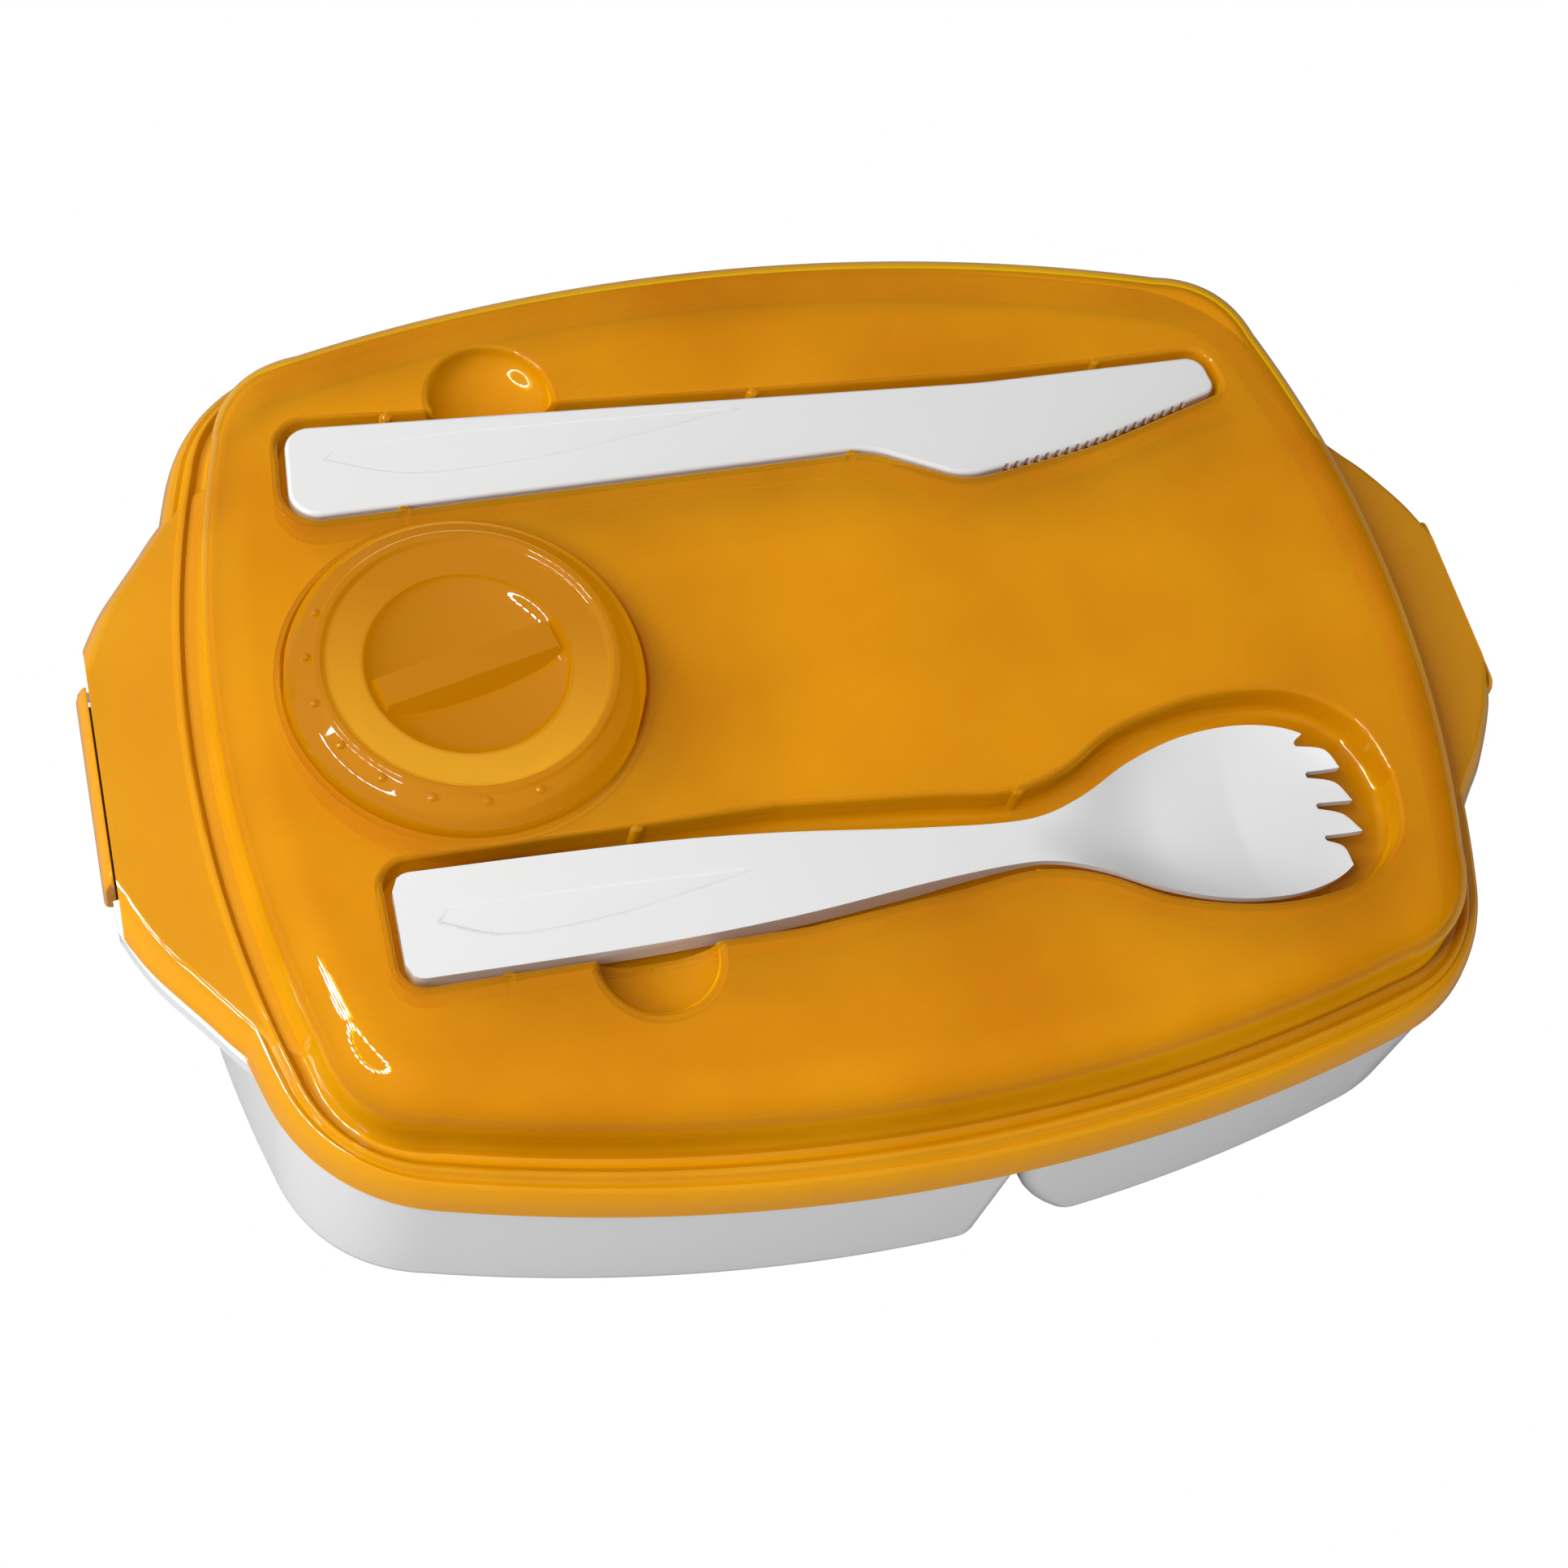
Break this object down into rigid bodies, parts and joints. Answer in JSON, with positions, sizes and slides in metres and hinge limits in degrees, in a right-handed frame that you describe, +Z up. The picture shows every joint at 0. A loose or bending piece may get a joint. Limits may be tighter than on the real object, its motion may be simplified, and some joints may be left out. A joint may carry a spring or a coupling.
{
  "type": "lunch box with cutlery and dressing pot",
  "caption": "Shut plastic lunch box with tubs side by side, end clips, and a knife, a spork and a round dressing pot held in its see-through lid.",
  "frame": {"origin": "middle of the box's footprint, on the surface that it stands on", "axes": "+X along the length, towards the spork's tines; +Y across, towards the knife; +Z up"},
  "size_m": [0.2552, 0.1854, 0.0676],
  "materials": {
    "white_base": "smooth white polypropylene",
    "orange_lid": "glossy, slightly see-through orange",
    "orange_pot": "glossy deep orange",
    "white_cutlery": "smooth white plastic"
  },
  "bodies": {
    "root": {"base": "white_base", "lid": "orange_lid", "clip_left": "orange_lid", "clip_right": "orange_lid", "dressing_pot": "orange_pot", "knife": "white_cutlery", "spork": "white_cutlery"}
  },
  "joints": []
}
